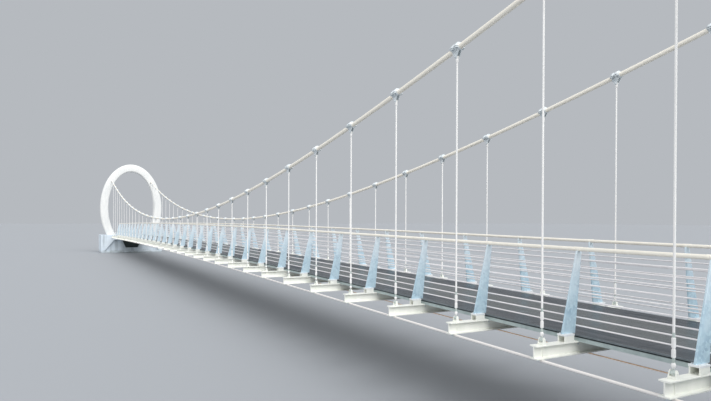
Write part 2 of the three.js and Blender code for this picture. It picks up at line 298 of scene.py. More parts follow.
class Shape:
    """The points and faces of one piece, gathered part by part."""

    def __init__(self):
        self.points = []
        self.faces = []

    def skin(self, rings, closed=False):
        """Covers rings of equally many points, and caps both ends unless they close on themselves."""
        start = len(self.points)
        count = len(rings[0])
        for ring in rings:
            self.points.extend(ring)
        for step in range(len(rings) if closed else len(rings) - 1):
            here = start + step * count
            there = start + (step + 1) % len(rings) * count
            for i in range(count):
                j = (i + 1) % count
                self.faces.append((here + i, here + j, there + j, there + i))
        if not closed:
            last = start + (len(rings) - 1) * count
            self.faces.append(tuple(start + i for i in reversed(range(count))))
            self.faces.append(tuple(last + i for i in range(count)))

    def box(self, low, high):
        self.skin([[Vector((x, y, z)) for x, y in rectangle(low, high)] for z in (low[2], high[2])])

    def block(self, side, x, half_length, across, levels):
        """A box on one side of the bridge, from its two limits across the bridge and its two levels."""
        faces = sorted((side * across[0], side * across[1]))
        self.box((x - half_length, faces[0], levels[0]), (x + half_length, faces[1], levels[1]))

    def plate_along(self, outline, y, thickness):
        """An outline of (x, z) points made thick across the bridge."""
        faces = (y - thickness / 2, y + thickness / 2)
        self.skin([[Vector((x, place, z)) for x, z in outline] for place in faces])

    def along(self, places, outline):
        """An outline of (y, z) points drawn along the bridge through the given places."""
        self.skin([[Vector((x, y, z)) for y, z in outline] for x in places])

    def tube(self, path, radius, sides=ROUND_SIDES, closed=False, reference=None):
        rings = []
        for i, point in enumerate(path):
            before = path[i - 1] if i or closed else point
            after = path[(i + 1) % len(path)] if closed or i + 1 < len(path) else point
            rings.append(circle(point, after - before, radius, sides, reference))
        self.skin(rings, closed)

    def bar(self, start, end, y, z, radius, sides=ROUND_SIDES):
        """A round bar along the bridge."""
        self.tube([Vector((x, y, z)) for x in steps_between(start, end, BAR_STEP)], radius, sides)

    def both_sides(self, start, end, outline):
        """An outline of (y, z) points drawn along both sides of the bridge."""
        for side, _ in SIDES:
            self.along(steps_between(start, end, FOLLOW_STEP), [(side * y, z) for y, z in outline])

    def turned(self, start, direction, profile, sides=ROUND_SIDES):
        """A turned part. The profile is pairs of a distance along the direction and a radius."""
        axis = direction.normalized()
        self.skin([circle(start + axis * along, axis, radius, sides) for along, radius in profile])

    def bolt(self, place, direction, size):
        """A washer of that radius on a face, and a hexagon head with its edge taken off."""
        self.turned(place, direction, [(-0.1 * size, size), (0.2 * size, size)], BOLT_SIDES)
        head = [(0.1 * size, 0.82 * size), (0.75 * size, 0.82 * size), (0.9 * size, 0.68 * size)]
        self.turned(place, direction, head, 6)


def on_deck(fill, *values):
    """A shape whose parts are placed from the deck's surface and follow its curve."""
    shape = Shape()
    fill(shape, *values)
    for point in shape.points:
        point.z += deck_z(point.x)
    return shape


def at_hangers(fill, side):
    """A shape with the same part at every hanger of one side."""
    shape = Shape()
    for x in BEAM_PLACES:
        fill(shape, x, side)
    return shape


def finish_mesh(mesh, bevel):
    """Turns the faces outwards, takes the sharp edges off and shades the round parts smooth."""
    build = bmesh.new()
    build.from_mesh(mesh)
    bmesh.ops.recalc_face_normals(build, faces=build.faces)
    if bevel:
        sharp = [e for e in build.edges if e.is_manifold and e.calc_face_angle() > BEVEL_ANGLE]
        bmesh.ops.bevel(build, geom=sharp, offset=bevel, segments=1, affect="EDGES", clamp_overlap=True)
    build.to_mesh(mesh)
    build.free()
    mesh.polygons.foreach_set("use_smooth", [True] * len(mesh.polygons))
    mesh.set_sharp_from_angle(angle=SHARP_ANGLE)


def add_mesh(name, mesh, material, nodes, bevel):
    finish_mesh(mesh, bevel)
    mesh.materials.clear()
    mesh.materials.append(material)
    piece = bpy.data.objects.new(name, mesh)
    bpy.context.scene.collection.objects.link(piece)
    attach(piece, "root")
    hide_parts(*nodes)


def add_piece(name, shape, material, slot, *nodes, bevel=0.0):
    """Makes an object of a shape. It rides on the bridge's one body and stands for the CAD nodes."""
    mesh = bpy.data.meshes.new(name)
    mesh.from_pydata(shape.points, [], shape.faces)
    add_mesh(name, mesh, material, nodes, bevel)


# Materials

MIX_A = 6
MIX_B = 7
MIX_RESULT = 2


def colour(red, green, blue):
    """A linear colour from the usual 0 to 255 values."""
    def linear(value):
        share = value / 255
        return share / 12.92 if share <= 0.04045 else ((share + 0.055) / 1.055) ** 2.4
    return (linear(red), linear(green), linear(blue), 1.0)


class Surface:
    """A procedural material: a Principled shader and the nodes that feed it."""

    def __init__(self, name, roughness, metallic=0.0):
        self.material = bpy.data.materials.new(name)
        self.material.use_nodes = True
        self.tree = self.material.node_tree
        self.shader = self.tree.nodes["Principled BSDF"]
        self.shader.inputs["Roughness"].default_value = roughness
        self.shader.inputs["Metallic"].default_value = metallic
        self.place = self.node("ShaderNodeTexCoord").outputs["Object"]

    def node(self, kind, inputs=None, **settings):
        made = self.tree.nodes.new(kind)
        for name, value in settings.items():
            setattr(made, name, value)
        for key, value in (inputs or {}).items():
            self.feed(made.inputs[key], value)
        return made

    def feed(self, socket, value):
        if isinstance(value, bpy.types.NodeSocket):
            self.tree.links.new(value, socket)
        else:
            socket.default_value = value

    def stretched(self, scale):
        return self.node("ShaderNodeMapping", {"Vector": self.place, "Scale": scale}).outputs["Vector"]

    def parts(self):
        """X, Y and Z of a place."""
        return self.node("ShaderNodeSeparateXYZ", {"Vector": self.place}).outputs

    def noise(self, scale, stretch=(1, 1, 1), detail=5.0):
        inputs = {"Vector": self.stretched(stretch), "Scale": scale, "Detail": detail}
        return self.node("ShaderNodeTexNoise", inputs).outputs["Fac"]

    def cells(self, scale):
        """A grey of its own for each cell of a crystal pattern."""
        made = self.node("ShaderNodeTexVoronoi", {"Vector": self.place, "Scale": scale})
        grey = self.node("ShaderNodeSeparateColor", {"Color": made.outputs["Color"]})
        return grey.outputs["Red"]

    def spread(self, value, low, high, to_low=0.0, to_high=1.0):
        inputs = {"Value": value, "From Min": low, "From Max": high, "To Min": to_low, "To Max": to_high}
        return self.node("ShaderNodeMapRange", inputs).outputs["Result"]

    def math(self, operation, first, second):
        made = self.node("ShaderNodeMath", {0: first, 1: second}, operation=operation)
        return made.outputs["Value"]

    def mix(self, share, first, second):
        inputs = {0: share, MIX_A: first, MIX_B: second}
        return self.node("ShaderNodeMix", inputs, data_type="RGBA").outputs[MIX_RESULT]

    def lines(self, axis, pitch, width):
        """Thin lines across an axis: 1 in the line and 0 beside it."""
        turn = self.math("DIVIDE", self.parts()[axis], pitch)
        share = self.math("FRACT", turn, 0.0)
        off_line = self.math("ABSOLUTE", self.math("SUBTRACT", share, 0.5), 0.0)
        return self.spread(off_line, width / pitch, 0.0)

    def bump(self, height, distance, strength):
        inputs = {"Height": height, "Distance": distance, "Strength": strength}
        made = self.node("ShaderNodeBump", inputs)
        if self.shader.inputs["Normal"].is_linked:
            before = self.shader.inputs["Normal"].links[0].from_socket
            self.feed(made.inputs["Normal"], before)
        self.feed(self.shader.inputs["Normal"], made.outputs["Normal"])

    def finish(self, base, roughness=None):
        self.feed(self.shader.inputs["Base Color"], base)
        if roughness is not None:
            self.feed(self.shader.inputs["Roughness"], roughness)
        return self.material


def painted(name, clean, grimy, grime):
    """Paint with faint clouds, streaks that run downwards and a fine orange peel."""
    surface = Surface(name, 0.42)
    clouds = surface.noise(3.0)
    streaks = surface.noise(15.0, (1, 1, 0.25))
    both = surface.math("MULTIPLY", clouds, streaks)
    dirt = surface.spread(both, 0.20, 0.42, 0.0, grime)
    speckle = surface.spread(surface.noise(180.0, detail=2.0), 0.62, 0.72, 0.0, grime * 0.5)
    share = surface.math("MAXIMUM", dirt, speckle)
    surface.bump(surface.noise(220.0, detail=3.0), 0.0006, 0.25)
    roughness = surface.spread(clouds, 0.3, 0.7, 0.36, 0.56)
    return surface.finish(surface.mix(share, clean, grimy), roughness)


def galvanised(name, light, dark, painted_highlight=None):
    """Hot-dip zinc: crystals of slightly different greys, under cloudy bright and dull patches.

    With a painted highlight colour the zinc turns paler towards the handrail and towards the bridge's
    east end: painted light for the posts' brighter tops and the sheen of the far posts.
    """
    surface = Surface(name, 0.45, metallic=0.15)
    crystals = surface.spread(surface.cells(55.0), 0.0, 1.0, 0.0, 0.8)
    clouds = surface.spread(surface.noise(9.0), 0.32, 0.66, 0.1, 0.95)
    streaks = surface.spread(surface.noise(30.0, (1, 1, 0.2)), 0.55, 0.75, 0.0, 0.35)
    share = surface.math("MAXIMUM", surface.math("MULTIPLY", crystals, clouds), streaks)
    surface.bump(surface.cells(55.0), 0.0003, 0.2)
    roughness = surface.spread(clouds, 0.0, 0.95, 0.37, 0.60)
    base = surface.mix(share, light, dark)
    # Painted light: paler towards the handrail and the east end, for brighter tops and the far posts'
    # sheen.
    if painted_highlight:
        parts = surface.parts()
        unevenness = surface.spread(surface.noise(7.0), 0.3, 0.7, -0.10, 0.10)
        upper = surface.spread(surface.math("ADD", parts["Z"], unevenness), 1.20, 1.75, 0.0, 0.75)
        eastern = surface.spread(parts["X"], -13.0, 8.0, 0.0, 0.4)
        base = surface.mix(surface.math("MAXIMUM", upper, eastern), base, painted_highlight)
    return surface.finish(base, roughness)


def stranded(name, light, shade, lay=0.012):
    """Painted wire rope: strands that wind round the rope, with a little grime between them."""
    surface = Surface(name, 0.5)
    turned = surface.node(
        "ShaderNodeMapping", {"Vector": surface.place, "Rotation": (0.0, 0.6, 0.5)}
    ).outputs["Vector"]
    waves_per_metre = 3  # of the wave texture at a scale of one, about
    scale = 1 / (lay * waves_per_metre)
    inputs = {"Vector": turned, "Scale": scale, "Distortion": 0.3, "Detail": 1.0}
    strands = surface.node("ShaderNodeTexWave", inputs, bands_direction="X").outputs["Fac"]
    grime = surface.spread(surface.noise(4.0), 0.4, 0.75, 0.1, 0.5)
    share = surface.math("MULTIPLY", surface.spread(strands, 0.5, 0.0, 0.2, 0.6), grime)
    surface.bump(strands, 0.0005, 0.10)
    return surface.finish(surface.mix(share, light, shade), surface.spread(strands, 0.0, 1.0, 0.6, 0.42))


def mesh_deck(name, strand, opening, dusty):
    """Expanded steel mesh with dust in long streaks."""
    surface = Surface(name, 0.7)
    inputs = {
        "Vector": surface.place,
        "Scale": 1.0,
        "Mortar Size": 0.0022,
        "Mortar Smooth": 0.3,
        "Brick Width": 0.030,
        "Row Height": 0.012,
    }
    mesh = surface.node("ShaderNodeTexBrick", inputs).outputs["Fac"]
    base = surface.mix(mesh, opening, strand)
    long_streaks = surface.spread(surface.noise(14.0, (0.12, 1, 1)), 0.38, 0.68)
    patches = surface.spread(surface.noise(2.2, (0.5, 1, 1)), 0.35, 0.7)
    share = surface.math("MULTIPLY", surface.math("MULTIPLY", long_streaks, patches), 0.75)
    surface.bump(mesh, 0.0016, 0.5)
    return surface.finish(surface.mix(share, base, dusty), surface.spread(share, 0.0, 0.7, 0.28, 0.5))


def recess_painted_shade(surface):
    """How deep a place lies in the recess of an abutment's face, from 0 to 1, within limits round it:
    the mask of the painted shade under the deck's end.
    """
    parts = surface.parts()
    along = surface.math("ABSOLUTE", parts["X"], 0.0)
    across = surface.math("ABSOLUTE", parts["Y"], 0.0)
    deep = surface.spread(along, ABUTMENT_FRONT + 0.16, ABUTMENT_FRONT + 0.34)
    before_back = surface.spread(along, ABUTMENT_FRONT + 0.80, ABUTMENT_FRONT + 0.75)
    beside = surface.spread(across, 0.56, 0.54)
    below = surface.spread(parts["Z"], DECK_END_Z - 0.02, DECK_END_Z - 0.04)
    inside = surface.math("MULTIPLY", deep, before_back)
    return surface.math("MULTIPLY", inside, surface.math("MULTIPLY", beside, below))


def concrete(name):
    """Pale concrete with board marks, pores, damp stains from above, a dirty foot and painted shade in
    the recess under the deck's end.
    """
    surface = Surface(name, 0.85)
    clouds = surface.spread(surface.noise(1.6), 0.3, 0.7)
    base = surface.mix(clouds, colour(206, 217, 226), colour(223, 231, 237))
    stains = surface.spread(surface.noise(6.0, (1, 1, 0.12)), 0.52, 0.72, 0.0, 0.55)
    base = surface.mix(stains, base, colour(150, 160, 166))
    unevenness = surface.spread(surface.noise(5.0), 0.3, 0.7, -0.08, 0.08)
    ragged = surface.math("ADD", surface.parts()["Z"], unevenness)
    foot = surface.spread(ragged, 0.16, 0.0, 0.0, 0.45)
    base = surface.mix(foot, base, colour(120, 124, 112))
    # Painted shade: the recess under the deck's end turns darker towards its back.
    base = surface.mix(recess_painted_shade(surface), base, colour(98, 108, 108))
    level_marks = surface.lines("Z", 0.24, 0.004)
    marks = surface.math("MAXIMUM", surface.lines("Y", 0.6, 0.003), surface.lines("X", 0.6, 0.003))
    marks = surface.math("MAXIMUM", level_marks, marks)
    pores = surface.spread(surface.noise(120.0, detail=2.0), 0.66, 0.72)
    base = surface.mix(surface.math("MULTIPLY", marks, 0.35), base, colour(140, 148, 154))
    base = surface.mix(surface.math("MULTIPLY", pores, 0.5), base, colour(130, 136, 140))
    surface.bump(surface.noise(40.0), 0.002, 0.3)
    surface.bump(surface.math("MAXIMUM", marks, pores), -0.002, 0.6)
    return surface.finish(base)


def rubber(name, shade):
    surface = Surface(name, 0.75)
    dust = surface.spread(surface.noise(12.0, (0.2, 1, 1)), 0.45, 0.75, 0.0, 0.5)
    surface.bump(surface.noise(90.0), 0.0008, 0.4)
    return surface.finish(surface.mix(dust, shade, colour(86, 92, 94)))


WHITE_PAINT = painted("white_paint", colour(233, 233, 230), colour(203, 208, 210), grime=0.4)
CREAM_PAINT = painted("cream_paint", colour(252, 252, 244), colour(225, 230, 216), grime=0.4)
CHANNEL_PAINT = painted("channel_paint", colour(176, 189, 187), colour(130, 145, 145), grime=0.6)
RAIL_PAINT = painted("rail_paint", colour(250, 246, 246), colour(222, 218, 220), grime=0.3)
HANDRAIL_PAINT = painted("handrail_paint", colour(252, 246, 233), colour(233, 225, 209), grime=0.4)
HANGER_PAINT = painted("hanger_paint", colour(250, 248, 245), colour(222, 221, 220), grime=0.3)
# The posts' zinc gets a painted highlight towards their tops and towards the east end.
POST_ZINC = galvanised(
    "post_zinc", colour(199, 223, 234), colour(146, 178, 198), painted_highlight=colour(236, 239, 241)
)
PLATE_ZINC = galvanised("plate_zinc", colour(248, 249, 249), colour(218, 225, 228))
SMALL_ZINC = galvanised("small_zinc", colour(228, 233, 235), colour(182, 193, 198))
THREAD_STEEL = galvanised("thread_steel", colour(204, 213, 208), colour(166, 177, 172))
TIE_STEEL = galvanised("tie_steel", colour(242, 206, 172), colour(214, 178, 146))
TRIM_METAL = galvanised("trim_metal", colour(116, 124, 128), colour(86, 94, 100))
CABLE_WIRE = stranded("cable_wire", colour(255, 249, 236), colour(238, 226, 206))
STORM_WIRE = stranded("storm_wire", colour(248, 243, 238), colour(212, 204, 196), lay=0.006)
SIDE_MESH = mesh_deck("side_mesh", colour(38, 49, 60), colour(18, 25, 31), colour(48, 60, 69))
MIDDLE_MESH = mesh_deck("middle_mesh", colour(92, 97, 97), colour(55, 60, 62), colour(107, 110, 107))
# Near-black rubber: painted shade inside the pedestals, and partly painted shade in the gaps under the
# deck's edge trims.
DARK_RUBBER_AND_SHADE = rubber("rubber_and_painted_shade", colour(26, 34, 38))
PALE_CONCRETE = concrete("pale_concrete")


# Deck and floor

def deck_lanes(shape, start, end, lanes):
    """Deck panels, one bay long and one lane wide. The lanes are numbered from y = 0."""
    cuts = [start] + [x + BAY / 2 for x in beam_places(start, end - BAY / 2)] + [end]
    for low_x, high_x in zip(cuts, cuts[1:]):
        for lane in lanes:
            low_y = max(lane * LANE_WIDTH + LANE_GAP / 2, EDGE_WIDTH - DECK_HALF_WIDTH)
            high_y = min((lane + 1) * LANE_WIDTH - LANE_GAP / 2, DECK_HALF_WIDTH - EDGE_WIDTH)
            low = (low_x + JOINT_GAP / 4, low_y, -DECK_THICKNESS)
            high = (high_x - JOINT_GAP / 4, high_y, 0)
            shape.box(low, high)


def deck_edges(shape, start, end):
    """Dark packing strips between the edge trims and the edge channels, set back a little; their
    near-black colour is also painted shade for the gap under the trims.
    """
    outer = DECK_HALF_WIDTH - 2 * TRIM_THICKNESS
    inner = outer - CHANNEL_WIDTH / 2
    shape.both_sides(start, end, rectangle((inner, CHANNEL_TOP), (outer, OVERLAP - TRIM_HEIGHT)))


def edge_trims(shape, start, end):
    """Metal angles that cover the deck's edges."""
    outer = DECK_HALF_WIDTH
    inner = outer - EDGE_WIDTH
    side_face = outer - TRIM_THICKNESS
    under = TRIM_RISE - TRIM_THICKNESS
    outline = [
        (inner, TRIM_RISE),
        (outer, TRIM_RISE),
        (outer, -TRIM_HEIGHT),
        (side_face, -TRIM_HEIGHT),
        (side_face, under),
        (inner, under),
    ]
    shape.both_sides(start, end, outline)


def beam_outline(x):
    """An I-section seen across the bridge, its flanges a little thicker at the web."""
    half_flange = FLANGE_WIDTH / 2
    half_web = WEB_THICKNESS / 2
    right = [
        (half_flange, BEAM_BOTTOM),
        (half_flange, BEAM_BOTTOM + FLANGE_THICKNESS),
        (half_web, BEAM_BOTTOM + FLANGE_THICKNESS + FLANGE_SLOPE),
        (half_web, BEAM_TOP - FLANGE_THICKNESS - FLANGE_SLOPE),
        (half_flange, BEAM_TOP - FLANGE_THICKNESS),
        (half_flange, BEAM_TOP),
    ]
    return [(x + across, z) for across, z in right + mirrored(right)]


def floor_beams(shape, places):
    """Floor beams with a narrow stiffener below each hanger."""
    bottom = BEAM_BOTTOM + FLANGE_THICKNESS - OVERLAP
    top = BEAM_TOP - FLANGE_THICKNESS + OVERLAP
    across = (CABLE_Y - STIFFENER_THICKNESS / 2, CABLE_Y + STIFFENER_THICKNESS / 2)
    for x in places:
        shape.plate_along(beam_outline(x), 0, 2 * BEAM_HALF_LENGTH)
        for side, _ in SIDES:
            shape.block(side, x, STIFFENER_REACH, across, (bottom, top))


def web_bolts(shape, places):
    """Bolts through the beams' webs beside the edge channels."""
    for x in places:
        for side, _ in SIDES:
            for face in (-1, 1):
                place = Vector((x + face * WEB_THICKNESS / 2, side * WEB_BOLT_Y, WEB_BOLT_Z))
                shape.bolt(place, face * X, WEB_BOLT_SIZE)


def edge_channels(shape, start, end):
    """Channels along both edges of the floor, open towards the middle."""
    outer = CHANNEL_OUTER
    inner = outer - CHANNEL_WIDTH
    web = outer - CHANNEL_THICKNESS
    outline = [
        (inner, CHANNEL_TOP),
        (outer, CHANNEL_TOP),
        (outer, CHANNEL_BOTTOM),
        (inner, CHANNEL_BOTTOM),
        (inner, CHANNEL_BOTTOM + CHANNEL_THICKNESS),
        (web, CHANNEL_BOTTOM + CHANNEL_THICKNESS),
        (web, CHANNEL_TOP - CHANNEL_THICKNESS),
        (inner, CHANNEL_TOP - CHANNEL_THICKNESS),
    ]
    shape.both_sides(start, end, outline)


def stringers(shape, start, end):
    """Bearers on the floor beams, under the joints between the deck's lanes."""
    for y in (-LANE_WIDTH, 0, LANE_WIDTH):
        low = (y - STRINGER_WIDTH / 2, BEAM_TOP)
        high = (y + STRINGER_WIDTH / 2, -DECK_THICKNESS)
        shape.along(steps_between(start, end, FOLLOW_STEP), rectangle(low, high))


def floor_ties(shape, start, end):
    """A thin rod along each side of the floor, under the floor beams."""
    low_x = max(start, -ABUTMENT_FRONT)
    high_x = min(end, ABUTMENT_FRONT)
    z = BEAM_BOTTOM - FLOOR_TIE_RADIUS
    for side, _ in SIDES:
        shape.bar(low_x, high_x, side * FLOOR_TIE_Y, z, FLOOR_TIE_RADIUS, TIE_SIDES)


# Railing

def post_inner(z):
    """Place of a post's edge towards the walkway, which leans inwards."""
    share = (z - POST_FOOT_Z) / (POST_TOP_Z - POST_FOOT_Z)
    return POST_INNER + share * (POST_TOP_INNER - POST_INNER)


def posts(shape, places, side):
    """Tapered plates on edge."""
    foot = POST_FOOT_Z - 2 * OVERLAP
    outline = [
        (POST_INNER, foot),
        (POST_OUTER, foot),
        (POST_TOP_OUTER, POST_TOP_Z - POST_OUTER_CORNER),
        (POST_TOP_OUTER - POST_OUTER_CORNER, POST_TOP_Z),
        (POST_TOP_INNER + POST_INNER_CORNER, POST_TOP_Z),
        (POST_TOP_INNER, POST_TOP_Z - POST_INNER_CORNER),
    ]
    for x in places:
        faces = (x - POST_THICKNESS / 2, x + POST_THICKNESS / 2)
        shape.along(faces, [(side * y, z) for y, z in outline])


def base_plates(shape, places, side):
    """Plates under the posts' feet."""
    across = (BASE_PLATE_INNER, BASE_PLATE_OUTER)
    levels = (POST_FOOT_Z - BASE_PLATE_THICKNESS, POST_FOOT_Z)
    for x in places:
        shape.block(side, x, BASE_PLATE_HALF_WIDTH, across, levels)


def base_bolts(shape, places, side):
    """Four bolts on each base plate."""
    rows = (BASE_PLATE_INNER + BASE_BOLT_FROM_INNER, BASE_PLATE_OUTER - BASE_BOLT_FROM_OUTER)
    for x in places:
        for along in (-BASE_BOLT_PLACE, BASE_BOLT_PLACE):
            for y in rows:
                shape.bolt(Vector((x + along, side * y, POST_FOOT_Z)), Z, BASE_BOLT_SIZE)


def pedestals(shape, places, side):
    """Short open boxes on the floor beams under the posts, closed towards the walkway."""
    levels = (PEDESTAL_BOTTOM, PEDESTAL_TOP)
    half_plate = PEDESTAL_PLATE / 2
    closing_plate = (PEDESTAL_INNER + OVERLAP, PEDESTAL_INNER + PEDESTAL_PLATE)
    for x in places:
        for along in (-1, 1):
            middle = x + along * (PEDESTAL_HALF_WIDTH - half_plate)
            shape.block(side, middle, half_plate, (PEDESTAL_INNER, PEDESTAL_OUTER), levels)
        shape.block(side, x, PEDESTAL_HALF_WIDTH - OVERLAP, closing_plate, levels)


def pedestal_shade_sheets(shape, places, side):
    """Near-black sheets inside the pedestals, on the plates that close them: painted shade for the dark
    inside of the boxes.
    """
    inner = PEDESTAL_INNER + PEDESTAL_PLATE
    across = (inner - OVERLAP, inner + PEDESTAL_SHADE_SHEET)
    half_length = PEDESTAL_HALF_WIDTH - PEDESTAL_PLATE / 2
    for x in places:
        shape.block(side, x, half_length, across, (PEDESTAL_BOTTOM, PEDESTAL_TOP))


def handrail(shape, start, end, side):
    shape.bar(start, end, side * HANDRAIL_Y, HANDRAIL_Z, HANDRAIL_RADIUS)


def saddles(shape, places, side):
    """Sleeves that hold the handrail on its posts, each with two set screws."""
    half = SADDLE_LENGTH / 2
    edge = 0.001
    corners = [(half - edge, SADDLE_RADIUS), (half, SADDLE_RADIUS - edge)]
    corners.append((half, HANDRAIL_RADIUS - OVERLAP))
    profile = mirrored(corners) + corners
    screw_profile = [(0, SADDLE_SCREW_RADIUS), (0.003, SADDLE_SCREW_RADIUS), (0.004, 0.003)]
    for x in places:
        centre = Vector((x, side * HANDRAIL_Y, HANDRAIL_Z))
        shape.turned(centre, X, profile, SADDLE_SIDES)
        for along in (-SADDLE_SCREW_PLACE, SADDLE_SCREW_PLACE):
            screw = centre + Vector((along, side * (SADDLE_RADIUS - OVERLAP), 0))
            shape.turned(screw, side * Y, screw_profile, BOLT_SIDES)


def rails(shape, start, end, side):
    """Nine round rails along the posts' inner edges."""
    for number in range(RAILS):
        z = HANDRAIL_Z - RAIL_FIRST_DROP - number * RAIL_PITCH
        shape.bar(start, end, side * (post_inner(z) - RAIL_SETTING), z, RAIL_RADIUS, FINE_SIDES)


# Cables and hangers

def main_cable(side):
    shape = Shape()
    end = HALF_SPAN - RING_DEPTH / 2
    path = [cable_point(x, side) for x in steps_between(-end, end, FOLLOW_STEP)]
    shape.tube(path, CABLE_RADIUS, CABLE_SIDES)
    return shape


def cable_clamp(shape, x, side):
    """Two half shells round the cable, which meet in bolted flanges on both sides."""
    centre = cable_point(x, side)
    along = cable_direction(x)
    for level in (-1, 1):
        upwards = along.cross(Y) * level
        arc(shape, centre, along, upwards, CLAMP_HALF_LENGTH, CLAMP_RADIUS)
        for shift in (-CLAMP_RIB_PLACE, CLAMP_RIB_PLACE):
            rib = centre + along * shift
            if level > 0:
                arc(shape, rib, along, upwards, CLAMP_RIB_HALF_LENGTH, CLAMP_RIB_RADIUS)
            for face in (-1, 1):
                flange(shape, rib, along, upwards, face)


def arc(shape, centre, along, upwards, half, radius):
    """Half a ring round the cable with its outer edges taken off."""
    inner = CABLE_RADIUS - OVERLAP
    edge = min(CLAMP_EDGE, (radius - inner) / 2)
    corners = [(half - edge, radius), (half, radius - edge), (half, inner)]
    section = mirrored(corners) + corners
    gap = math.asin(CLAMP_SPLIT / CABLE_RADIUS)
    rings = []
    for turn in steps_between(gap, math.pi - gap, math.pi / CLAMP_STEPS):
        outwards = Y * math.cos(turn) + upwards * math.sin(turn)
        rings.append([centre + along * u + outwards * v for u, v in section])
    shape.skin(rings)


def flange(shape, centre, along, upwards, face):
    """Half of a flange on one side of a clamp, with its bolt."""
    half = CLAMP_HALF_LENGTH - CLAMP_RIB_PLACE - OVERLAP
    corner = CLAMP_FLANGE_CORNER
    right = [(half, CABLE_RADIUS), (half, CLAMP_FLANGE - corner), (half - corner, CLAMP_FLANGE)]
    outline = right + mirrored(right)
    levels = (CLAMP_SPLIT, CLAMP_SPLIT + CLAMP_FLANGE_THICKNESS)
    shape.skin([[centre + along * u + Y * face * v + upwards * z for u, v in outline] for z in levels])
    bolt = centre + Y * face * (CLAMP_FLANGE - CLAMP_BOLT_FROM_EDGE) + upwards * levels[1]
    shape.bolt(bolt, upwards, CLAMP_BOLT_SIZE)
    shank = [(0, 0.0042), (0.011, 0.0042), (0.012, 0.0034)]
    shape.turned(bolt, upwards, shank, BOLT_SIDES)


def hanger_fork(shape, x, side):
    """Two tapered plates below a clamp, with the pin that carries the hanger."""
    z = cable_z(x)
    along = cable_direction(x)
    slope = along.z / along.x
    outline = [
        (x - 0.044, z - 0.044 * slope - 0.018),
        (x + 0.044, z + 0.044 * slope - 0.018),
        (x + 0.041, z + 0.041 * slope - 0.036),
        (x + 0.0155, z - PIN_DROP),
        (x + 0.0115, z - PIN_DROP - 0.012),
        (x - 0.0115, z - PIN_DROP - 0.012),
        (x - 0.0155, z - PIN_DROP),
        (x - 0.041, z - 0.041 * slope - 0.036),
    ]
    for face in (-1, 1):
        shape.plate_along(outline, side * CABLE_Y + face * FORK_MIDDLE, FORK_THICKNESS)
        outside = side * CABLE_Y + face * (FORK_MIDDLE + FORK_THICKNESS / 2)
        shape.bolt(Vector((x, outside, z - PIN_DROP)), face * Y, PIN_BOLT_SIZE)
        for shift in (-FORK_BOLT_PLACE, FORK_BOLT_PLACE):
            level = z + shift * slope - FORK_BOLT_DROP
            shape.bolt(Vector((x + shift, outside, level)), face * Y, FORK_BOLT_SIZE)


def hanger_end(shape, x, side):
    """The painted parts at both ends of a hanger: the upper eye, the turnbuckle and the lower knob."""
    eye = [
        (PIN_DROP + 0.004, 0.0105),
        (PIN_DROP + 0.010, 0.0122),
        (PIN_DROP + 0.040, 0.0125),
        (PIN_DROP + 0.046, 0.0100),
        (PIN_DROP + 0.048, HANGER_RADIUS - 0.001),
    ]
    knob = [(0.058, 0.0050), (0.064, 0.0095), (0.070, 0.0125), (0.078, 0.0134)]
    knob += [(0.085, 0.0125), (0.090, 0.0095), (0.093, 0.0070)]
    turnbuckle = [(0.120, 0.0085), (0.122, 0.0122), (0.166, 0.0122), (0.168, 0.0088)]
    turnbuckle += [(0.177, 0.0088), (0.179, 0.0122), (0.233, 0.0122), (0.236, 0.0090)]
    top = cable_point(x, side)
    shape.turned(top - Z * PIN_DROP, Y, [(-0.0110, 0.0135), (0.0110, 0.0135)])
    shape.turned(top, -Z, eye)
    shape.turned(hanger_foot(x, side), Z, knob)
    shape.turned(hanger_foot(x, side), Z, turnbuckle)


def hanger_thread(shape, x, side):
    """The thread below a turnbuckle, the plain end above it, and the lower eye with its neck."""
    crests = 7
    pitch = 0.004
    lower = [(0.091, 0.0078)]
    for n in range(crests):
        lower.append((0.093 + pitch * n, 0.0086))
        lower.append((0.095 + pitch * n, 0.0076))
    lower.append((0.121, 0.0082))
    upper = [(0.234, 0.0082), (0.262, 0.0082), (0.265, HANGER_RADIUS)]
    neck = [(0.040, 0.0070), (0.048, 0.0056), (0.060, 0.0056)]
    foot = hanger_foot(x, side)
    for profile in (lower, upper, neck):
        shape.turned(foot, Z, profile, FINE_SIDES)
    shape.turned(foot + Z * LUG_PIN_Z, X, [(-0.0150, 0.0125), (0.0150, 0.0125)])


def hanger_rod(shape, x, side):
    foot = hanger_foot(x, side) + Z * ROD_FOOT
    top = cable_point(x, side) - Z * ROD_TOP_DROP
    shape.tube([foot, top], HANGER_RADIUS)


def hanger_lug(shape, x, side):
    """Two upright legs on a floor beam that lean together, with a block and a pin between them."""
    # Height of each level, distance of the leg's middle from the hanger, and the leg's half width
    levels = ((0.000, 0.0255, 0.0145), (0.040, 0.0195, 0.0105), (0.051, 0.0180, 0.0060))
    foot = hanger_foot(x, side)
    for face in (-1, 1):
        rings = []
        for z, out, half in levels:
            low = (face * out - LUG_LEG_HALF_THICKNESS, -half)
            high = (face * out + LUG_LEG_HALF_THICKNESS, half)
            rings.append([foot + X * u + Y * v + Z * z for u, v in rectangle(low, high)])
        shape.skin(rings)
        shape.bolt(foot + Z * LUG_PIN_Z + X * face * LUG_PIN_PLACE, face * X, LUG_PIN_BOLT_SIZE)
    block_x, block_y, block_height = LUG_BLOCK
    shape.box(foot - Vector((block_x, block_y, 0)), foot + Vector((block_x, block_y, block_height)))


def storm_cable(shape, side):
    y = side * STORM_CABLE_Y
    shape.bar(-ABUTMENT_FRONT, ABUTMENT_FRONT, y, STORM_CABLE_Z, STORM_CABLE_RADIUS)


